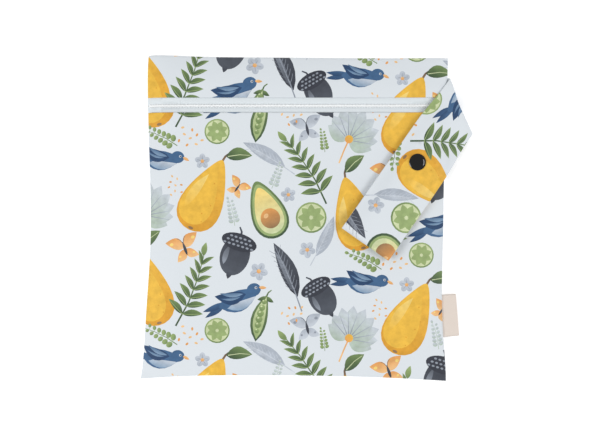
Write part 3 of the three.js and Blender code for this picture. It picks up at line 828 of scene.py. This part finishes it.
def row_along(name, path, material, pitch, size, shift):
    """Repeats one small rounded shape along a path, with a tree of Geometry Nodes."""
    tree = bpy.data.node_groups.new(name, "GeometryNodeTree")
    sockets = tree.interface
    sockets.new_socket("Geometry", in_out="INPUT", socket_type="NodeSocketGeometry")
    for label, kind in [
        ("Pitch", "NodeSocketFloat"), ("Size", "NodeSocketVector"), ("Shift", "NodeSocketVector"),
        ("Material", "NodeSocketMaterial"),
    ]:
        sockets.new_socket(label, in_out="INPUT", socket_type=kind)
    sockets.new_socket("Geometry", in_out="OUTPUT", socket_type="NodeSocketGeometry")
    nodes, links = tree.nodes, tree.links
    given, result = nodes.new("NodeGroupInput"), nodes.new("NodeGroupOutput")
    curve = nodes.new("GeometryNodeMeshToCurve")
    even = nodes.new("GeometryNodeResampleCurve")
    even.mode = "LENGTH"
    moved = nodes.new("GeometryNodeSetPosition")
    bead = nodes.new("GeometryNodeMeshUVSphere")
    set_inputs(bead, {"Segments": 8, "Rings": 6, "Radius": 0.5})
    sized = nodes.new("GeometryNodeTransform")
    tangent = nodes.new("GeometryNodeInputTangent")
    turn = nodes.new("FunctionNodeAlignEulerToVector")
    turn.axis = "X"
    copies = nodes.new("GeometryNodeInstanceOnPoints")
    real = nodes.new("GeometryNodeRealizeInstances")
    rounded = nodes.new("GeometryNodeSetShadeSmooth")
    coloured = nodes.new("GeometryNodeSetMaterial")
    for source, target in [
        (given.outputs["Geometry"], curve.inputs[0]),
        (curve.outputs[0], even.inputs["Curve"]),
        (given.outputs["Pitch"], even.inputs["Length"]),
        (even.outputs[0], moved.inputs["Geometry"]),
        (given.outputs["Shift"], moved.inputs["Offset"]),
        (bead.outputs[0], sized.inputs["Geometry"]),
        (given.outputs["Size"], sized.inputs["Scale"]),
        (tangent.outputs[0], turn.inputs["Vector"]),
        (moved.outputs[0], copies.inputs["Points"]),
        (sized.outputs[0], copies.inputs["Instance"]),
        (turn.outputs[0], copies.inputs["Rotation"]),
        (copies.outputs[0], real.inputs[0]),
        (real.outputs[0], rounded.inputs["Geometry"]),
        (rounded.outputs[0], coloured.inputs["Geometry"]),
        (given.outputs["Material"], coloured.inputs["Material"]),
        (coloured.outputs[0], result.inputs[0]),
    ]:
        links.new(source, target)
    line = bpy.data.meshes.new(name + " path")
    line.from_pydata((path * MM).tolist(), [(k, k + 1) for k in range(len(path) - 1)], [])
    holder = placed(name + " path", line)
    modifier = holder.modifiers.new("row", "NODES")
    modifier.node_group = tree
    keys = {item.name: item.identifier for item in sockets.items_tree if item.in_out == "INPUT"}
    modifier[keys["Pitch"]] = pitch * MM
    modifier[keys["Size"]] = [s * MM for s in size]
    modifier[keys["Shift"]] = [s * MM for s in shift]
    modifier[keys["Material"]] = material
    seen = bpy.context.evaluated_depsgraph_get()
    mesh = bpy.data.meshes.new_from_object(holder.evaluated_get(seen))
    bpy.data.objects.remove(holder)
    return mesh


def joined(name, meshes):
    """One object from several meshes that share one material."""
    parts = [placed(name, mesh) for mesh in meshes]
    with bpy.context.temp_override(
        active_object=parts[0], selected_editable_objects=parts, selected_objects=parts
    ):
        bpy.ops.object.join()
    return parts[0]


def plain_material(name, colour, roughness, shine=0.5):
    """One smooth colour, such as nylon or moulded plastic."""
    material, _, _, shader = new_material(name)
    set_inputs(shader, {
        "Base Color": (*linear(colour), 1), "Roughness": roughness, "Specular IOR Level": shine,
    })
    return material


nylon = plain_material("nylon", (250, 252, 253), 0.35)
thread = plain_material("thread", (232, 237, 240), 0.8)
coil_x = np.linspace(
    left_edge(zip_y) + COIL_END_MM, right_edge(zip_y) - COIL_END_MM, ZIP_POINTS
)


def zip_path(aside, lift):
    """A line along the zip, on its tapes."""
    y = np.full_like(coil_x, zip_y + aside)
    return np.stack([coil_x, y, front_height(coil_x, y) - TAPE_DROP_MM + lift], 1)


coil = joined("zip_coil", [
    row_along("coil turns", zip_path(0, TURN_LIFT_MM), nylon, TURN_PITCH_MM, TURN_SIZE_MM,
              (way * TURN_PITCH_MM / 4, way * TURN_ASIDE_MM, 0))
    for way in (-1, 1)
])
dress(coil, nylon, "zip_nylon", "zip_chain")
coil_stitches = joined("zip_stitches", [
    row_along("coil stitches", zip_path(way * STITCH_ASIDE_MM, STITCH_LIFT_MM), thread,
              STITCH_PITCH_MM, STITCH_SIZE_MM, (0, 0, 0))
    for way in (-1, 1)
])
dress(coil_stitches, thread, "zip_tape")


# The zip's slider with its pull, at the right end under the strap. It is a plain moulded piece
# and keeps the shape of its solid.
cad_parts["zip_slider"].data.materials.clear()
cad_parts["zip_slider"].data.materials.append(nylon)


# The strap: a doubled strip of the same cloth, turned right side out. It leaves the right seam,
# folds over beside the bag, crosses the front and turns back under itself to its snap.
STRAP_MM = 1.0
STRAP_OUT_MM = 10
STRAP_EXIT_DEG = -4.8
STRAP_LIE_DEG = -125
FOLD_RADIUS_MM = 1.2
FOLD_CLEAR_MM = 2.3
FOLD_SETTLE_MM = 30
RISE_RUN_MM = 32
SNAP_FROM_FOLD_MM = 53.4
SNAP_ASIDE_MM = 3.7
LOOP_REACH_MM = 71.8
LOOP_GAP_MM = 6
FREE_END_MM = 10
STRAP_TUCK_MM = 4
SNAP_FLAT_MM = 8
SNAP_SLOPE_MM = 20
SNAP_PLANE_MM = (12, 24)
CAP_MM = 1.2
APART_MM = 0.3
STUD_MM = 0.8
SOCKET_MM = 2.6
STRAP_EDGE_MM = 0.5
EDGE_THINNEST = 0.04
DROOP_MM = 4.2
DROOP_FROM_MM = 7
DROOP_RUN_MM = 26
LOOP_HOLDS = 0.7
SLACK_MM = (15, 0.28)
SLACK_FROM_SNAP_MM = (8, 20)
SLACK_FROM_FOLD_MM = 12
STRAP_GRID_MM = 2.6


def way_of(degrees):
    return np.array([math.cos(math.radians(degrees)), math.sin(math.radians(degrees))])


exit_way, exit_side = way_of(STRAP_EXIT_DEG), way_of(STRAP_EXIT_DEG + 90)
fold_out = way_of((STRAP_EXIT_DEG + STRAP_LIE_DEG) / 2 + 90)
fold_lean = exit_way @ fold_out
fold_start = STRAP_OUT_MM - (FOLD_RADIUS_MM + FRONT_CLOTH_MM / 2) / fold_lean
fold_skew = -(exit_side @ fold_out) / fold_lean
fold_far = fold_start + math.pi * FOLD_RADIUS_MM / fold_lean - fold_skew * STRAP_HALF_MM
snap_along = STRAP_OUT_MM + SNAP_FROM_FOLD_MM
loop_radius = (LOOP_GAP_MM + FRONT_CLOTH_MM) / 2
loop_start = snap_along + LOOP_REACH_MM - loop_radius - FRONT_CLOTH_MM / 2
loop_end = loop_start + math.pi * loop_radius
strap_end = loop_end + loop_start - snap_along + FREE_END_MM
snap_between = APART_MM + STUD_MM + APART_MM + SOCKET_MM + APART_MM
snap_rise = CAP_MM + APART_MM + FRONT_CLOTH_MM + snap_between
loop_rise = LOOP_GAP_MM + FRONT_CLOTH_MM


def gathered(across, share):
    """Draws the strap's lower edge in, as it is where the strap is sewn and folded."""
    return across + share * STRAP_GATHER_MM * (0.5 - across / STRAP_HALF_MM / 2)


def fold_lag(across):
    """How much further along the fold lies, from the strap's middle to its edges."""
    return fold_skew * across + FOLD_CLEAR_MM / fold_lean * smooth(0, STRAP_HALF_MM, across)


def strap_plan(along, across):
    """Where a place on the flat strap goes when it is folded over beside the bag."""
    root = np.array([right_edge(strap_y), strap_y])
    flat = root + along[:, None] * exit_way + across[:, None] * exit_side
    past = (along - fold_start - fold_lag(across)) * fold_lean
    turn = np.clip(past / FOLD_RADIUS_MM, 0, np.pi)
    beyond = np.clip(past - np.pi * FOLD_RADIUS_MM, 0, None)
    folded = np.where(past < 0, past, FOLD_RADIUS_MM * np.sin(turn) - beyond)
    clear = FOLD_CLEAR_MM * smooth(0, STRAP_HALF_MM, across)
    settled = 2 * clear * smooth(0, FOLD_SETTLE_MM, beyond)
    return flat + (folded - past - settled)[:, None] * fold_out, turn, beyond


snap_foot = strap_plan(np.array([snap_along]), np.array([SNAP_ASIDE_MM]))[0][0]
snap_z = front_height(*snap_foot)
snap_slope = np.array([
    front_height(snap_foot[0] + 1, snap_foot[1]) - front_height(snap_foot[0] - 1, snap_foot[1]),
    front_height(snap_foot[0], snap_foot[1] + 1) - front_height(snap_foot[0], snap_foot[1] - 1),
]) / 2
snap_up = Vector((*-snap_slope, 1)).normalized()


def strap_middle(along, across):
    """The middle of the strap's cloth, in place."""
    loop_turn = np.clip((along - loop_start) / loop_radius, 0, np.pi)
    back = np.clip(along - loop_end, 0, None)
    reach = np.minimum(along, loop_start) + loop_radius * np.sin(loop_turn) - back
    drawn_in = 1 - smooth(fold_far, snap_along, reach)
    spot, turn, beyond = strap_plan(reach, gathered(across, drawn_in))
    from_snap = reach - snap_along
    plane = snap_z + (spot - snap_foot) @ snap_slope
    away = smooth(*SNAP_PLANE_MM, np.linalg.norm(spot - snap_foot, axis=1))
    front = front_height(spot[:, 0], spot[:, 1])
    lay = plane + (front - plane) * away + (APART_MM + FRONT_CLOTH_MM / 2) / snap_up.z
    upper = lay + snap_rise / snap_up.z * smooth(0, RISE_RUN_MM, beyond)
    upper += (loop_rise - snap_rise) * smooth(SNAP_FLAT_MM, SNAP_SLOPE_MM + SNAP_FLAT_MM, from_snap)
    under_cap = 1 - smooth(SNAP_FLAT_MM, SNAP_SLOPE_MM, np.abs(from_snap))
    free = lay + (CAP_MM + APART_MM) / snap_up.z * under_cap
    held = LOOP_HOLDS * smooth(-DROOP_RUN_MM, 0, reach - loop_start)
    droop = smooth(0, DROOP_RUN_MM, beyond) * (1 - held)
    upper -= DROOP_MM * droop * smooth(DROOP_FROM_MM, STRAP_HALF_MM, np.abs(across))
    root_z = FRONT_SEAM_MM + FRONT_CLOTH_MM / 2
    outward = root_z + (upper - root_z) * (1 - np.cos(turn)) / 2
    height = outward + (free - outward) * (1 - np.cos(loop_turn)) / 2
    return np.concatenate([spot, height[:, None]], 1)


def rounded_half(thick, inside, radius):
    """Half of a strip's thickness, rounded off towards its edge."""
    t = np.clip(inside / radius, 0, 1)
    return thick / 2 * np.maximum(np.sqrt(np.clip(1 - (1 - t) ** 2, 0, 1)), EDGE_THINNEST)


def strap_surface(points):
    along, across = points.T
    step = 0.05
    lengthwise = strap_middle(along + step, across) - strap_middle(along - step, across)
    sideways = strap_middle(along, across + step) - strap_middle(along, across - step)
    normal = np.cross(lengthwise, sideways)
    normal /= np.linalg.norm(normal, axis=1)[:, None]
    edge = np.minimum(STRAP_HALF_MM - np.abs(across), strap_end - along)
    half = rounded_half(STRAP_MM, edge, STRAP_EDGE_MM)
    from_snap = np.hypot(along - snap_along, across - SNAP_ASIDE_MM)
    slack = ripple(points, *SLACK_MM, 7) * smooth(*SLACK_FROM_SNAP_MM, from_snap)
    slack *= smooth(0, SLACK_FROM_FOLD_MM, along - fold_start - fold_lag(across))
    middle = strap_middle(along, across) + normal * slack[:, None]
    return middle + normal * half[:, None], middle - normal * half[:, None]


def strap_row(along, fold=0):
    """A line across the flat strap, straight or along the fold."""
    across = np.linspace(-STRAP_HALF_MM, STRAP_HALF_MM, 15)
    return np.stack([along + fold * fold_lag(gathered(across, 1)), across], 1)


def strap_layout():
    """The strap's flat outline, with close lines where it bends and along its edges."""
    ends = np.linspace(-STRAP_TUCK_MM, strap_end, 90)
    sides = [np.stack([ends, np.full_like(ends, s * STRAP_HALF_MM)], 1) for s in (-1, 1)]
    outline = np.concatenate([
        sides[0][:-1], strap_row(strap_end)[:-1], sides[1][::-1][:-1],
        strap_row(-STRAP_TUCK_MM)[::-1][:-1],
    ])
    lines = [strap_row(fold_start + past / fold_lean, 1)
             for past in np.linspace(0, np.pi * FOLD_RADIUS_MM, 9)]
    lines += [strap_row(at) for at in np.linspace(loop_start, loop_end, 15)]
    for inset in (0.08, 0.25, STRAP_EDGE_MM):
        lines += [side * (1, 1 - inset / STRAP_HALF_MM) for side in sides]
        lines.append(strap_row(strap_end - inset))
    across = np.linspace(-STRAP_HALF_MM + 1.6, STRAP_HALF_MM - 1.6, 14)
    along = np.arange(-STRAP_TUCK_MM + 2, strap_end - 2, STRAP_GRID_MM)
    return outline, lines, np.stack(np.meshgrid(along, across), -1).reshape(-1, 2)


STRAP_PRINT_DEG = 174
strap_print = print_on(
    (-STRAP_TUCK_MM, -STRAP_HALF_MM), (strap_end, STRAP_HALF_MM), STRAP_PRINT_DEG, 10, -14
)
strap = printed_sheet("strap_cloth", strap_layout(), strap_print, strap_surface, both_faces=True)
dress(strap, printed_cloth, "printed_cloth", "strap")


# The snap: glossy black plastic, in four turned pieces. A domed cap on each side of the strap
# has a post that passes through the cloth and is pressed into the socket or the stud.
CAP_RADIUS_MM = 6.2
CAP_RIM_MM = 0.25
CAP_FLAT = 0.5
# How far in and how high each point of the cap's rounded rim lies
RIM_MM = ((0.3, 0), (0.08, 0.1), (0, CAP_RIM_MM))
POST_RADIUS_MM = 2
POST_GRIP_MM = 0.5
STUD_RADIUS_MM = 5.3
KNOB_RADIUS_MM = 2.9
SOCKET_FLOOR_MM = 1
TURNED_SIDES = 64
snap_side = Vector((1, 0, 0)).cross(snap_up).normalized()
snap_other = snap_side.cross(snap_up)


def turned_out(mesh):
    """Turns the faces of a closed mesh outwards."""
    work = bmesh.new()
    work.from_mesh(mesh)
    bmesh.ops.recalc_face_normals(work, faces=work.faces)
    work.to_mesh(mesh)
    work.free()


def turned_piece(name, outline, foot, upright, node):
    """A piece turned about the snap's upright line from an outline of radius and height."""
    rings, points, faces = [], [], []
    for radius, height in outline:
        rings.append([])
        for k in range(TURNED_SIDES if radius > 0 else 1):
            turn = 2 * math.pi * k / TURNED_SIDES
            aside = (snap_side * math.cos(turn) + snap_other * math.sin(turn)) * radius
            rings[-1].append(len(points))
            points.append((Vector((*snap_foot, snap_z)) + aside
                           + snap_up * (foot + upright * height)) * MM)
    closed = outline[0][0] > 0
    pairs = list(zip(rings[:-1], rings[1:])) + ([(rings[-1], rings[0])] if closed else [])
    for low, high in pairs:
        for k in range(TURNED_SIDES):
            n = (k + 1) % TURNED_SIDES
            ring = [low[k % len(low)], low[n % len(low)], high[n % len(high)], high[k % len(high)]]
            faces.append(list(dict.fromkeys(ring)))
    mesh = bpy.data.meshes.new(name)
    mesh.from_pydata([p[:] for p in points], [], faces)
    mesh.shade_smooth()
    mesh.set_sharp_from_angle(angle=math.radians(35))
    turned_out(mesh)
    dress(placed(name, mesh), black_plastic, "black_plastic", node)


black_plastic = plain_material("black plastic", (6, 4, 8), 0.08, shine=0.4)
post = APART_MM + FRONT_CLOTH_MM + APART_MM + POST_GRIP_MM
dome = [
    (CAP_RADIUS_MM * (1 - (1 - CAP_FLAT) * share),
     CAP_MM - (CAP_MM - CAP_RIM_MM) * (1 - share) ** 2)
    for share in np.linspace(0.02, 1, 14)
]
cap_outline = [
    (0, -post), (POST_RADIUS_MM, -post), (POST_RADIUS_MM, 0),
    *[(CAP_RADIUS_MM - inward, height) for inward, height in RIM_MM], *dome, (0, CAP_MM),
]
hole = POST_RADIUS_MM + APART_MM
recess = SOCKET_MM - SOCKET_FLOOR_MM
stud_outline = [
    (0, POST_GRIP_MM + APART_MM), (hole, POST_GRIP_MM + APART_MM), (hole, 0), (STUD_RADIUS_MM, 0),
    (STUD_RADIUS_MM, STUD_MM), (KNOB_RADIUS_MM, STUD_MM), (KNOB_RADIUS_MM, STUD_MM + recess),
    (0, STUD_MM + recess),
]
socket_outline = [
    (KNOB_RADIUS_MM + APART_MM, 0), (STUD_RADIUS_MM, 0), (STUD_RADIUS_MM, SOCKET_MM),
    (hole, SOCKET_MM), (hole, recess), (KNOB_RADIUS_MM + APART_MM, recess),
]
stud_foot = APART_MM + CAP_MM + APART_MM + FRONT_CLOTH_MM + APART_MM
socket_foot = stud_foot + STUD_MM + APART_MM
cap_foot = socket_foot + SOCKET_MM + APART_MM + FRONT_CLOTH_MM + APART_MM
turned_piece("snap_back_cap_shape", cap_outline, APART_MM + CAP_MM, -1, "snap_back_cap")
turned_piece("snap_stud_shape", stud_outline, stud_foot, 1, "snap_stud")
turned_piece("snap_socket_shape", socket_outline, socket_foot, 1, "snap_socket")
turned_piece("snap_cap_shape", cap_outline, cap_foot, 1, "snap_cap")


# The label: a short length of cotton tape, bare, folded double with its ends caught in the
# right seam near the bottom, so that it stands out beside the bag.
LABEL_OUT_MM = 11.4
LABEL_TUCK_MM = 4
LABEL_MM = 0.9
LABEL_TURN_DEG = 4.5
LABEL_COLOUR = (222, 210, 200)
LABEL_LENGTH_MM = 31.5
LABEL_Y_MM = -73.5
LABEL_LIFT_MM = 0.5
LABEL_SAG_MM = 0.9
LABEL_SAG_RUN_MM = 16
LABEL_WAVE_MM = (9, 0.35)
LABEL_HELD_MM = 5
label_root = np.array([right_edge(LABEL_Y_MM), LABEL_Y_MM])


def label_surface(points):
    out, up = points.T
    spot = label_root + out[:, None] * way_of(LABEL_TURN_DEG) + up[:, None] * way_of(
        LABEL_TURN_DEG + 90
    )
    half = rounded_half(LABEL_MM, LABEL_OUT_MM - out, LABEL_MM / 2)
    middle = FRONT_SEAM_MM + LABEL_LIFT_MM - LABEL_SAG_MM * smooth(0, LABEL_SAG_RUN_MM, out)
    middle += ripple(points, *LABEL_WAVE_MM, 11) * smooth(0, LABEL_HELD_MM, out)
    return (np.concatenate([spot, (middle + half)[:, None]], 1),
            np.concatenate([spot, (middle - half)[:, None]], 1))


def label_layout():
    out = np.linspace(-LABEL_TUCK_MM, LABEL_OUT_MM, 12)
    up = np.linspace(-LABEL_LENGTH_MM / 2, LABEL_LENGTH_MM / 2, 22)
    low, high = [np.stack([out, np.full_like(out, end)], 1) for end in (up[0], up[-1])]
    near, far = [np.stack([np.full_like(up, end), up], 1) for end in (out[0], out[-1])]
    outline = np.concatenate([low[:-1], far[:-1], high[::-1][:-1], near[::-1][:-1]])
    lines = [far - (inset, 0) for inset in (0.06, 0.2, 0.45)]
    dots = np.stack(np.meshgrid(out[1:-1], up[1:-1]), -1).reshape(-1, 2)
    return outline, lines, dots


label = printed_sheet("side_label_cotton", label_layout(), [], label_surface)
dress(label, woven_material("cotton tape", LABEL_COLOUR, 0.7, 0.95), "cotton_tape", "side_label")


# The floor and the light: a plain white sheet under even light from all round, with a softbox
# on each side that gives the snap its two rims of light and the strap its soft shadows.
FLOOR_M = 3
WHITE = (1, 1, 1, 1)
corners = [(-1, -1), (1, -1), (1, 1), (-1, 1)]
floor_mesh = bpy.data.meshes.new("floor")
floor_mesh.from_pydata([(x * FLOOR_M, y * FLOOR_M, 0) for x, y in corners], [], [(0, 1, 2, 3)])
floor = placed("floor", floor_mesh)
floor_paint, _, _, floor_shader = new_material("floor paint")
set_inputs(floor_shader, {
    "Base Color": (0.9, 0.9, 0.9, 1), "Roughness": 0.9, "Emission Color": WHITE,
    "Emission Strength": 0.26,
})
floor_mesh.materials.append(floor_paint)

world = bpy.data.worlds.new("world")
bpy.context.scene.world = world
world.use_nodes = True
set_inputs(world.node_tree.nodes["Background"], {"Color": WHITE, "Strength": 0.645})


def softbox(name, place, wide, high, power):
    """A lamp with a wide flat face, turned to the middle of the bag."""
    lamp = bpy.data.lights.new(name, "AREA")
    lamp.shape = "RECTANGLE"
    lamp.size = wide
    lamp.size_y = high
    lamp.energy = power
    holder = placed(name, lamp)
    holder.location = place
    holder.rotation_euler = (-Vector(place)).to_track_quat("-Z", "Y").to_euler()


softbox("softbox at the right", (1.15, 0.05, 1.1), 0.8, 0.35, 8)
softbox("softbox at the left", (-0.95, -0.4, 0.9), 0.7, 0.3, 7)
bpy.context.scene.view_settings.view_transform = "Standard"
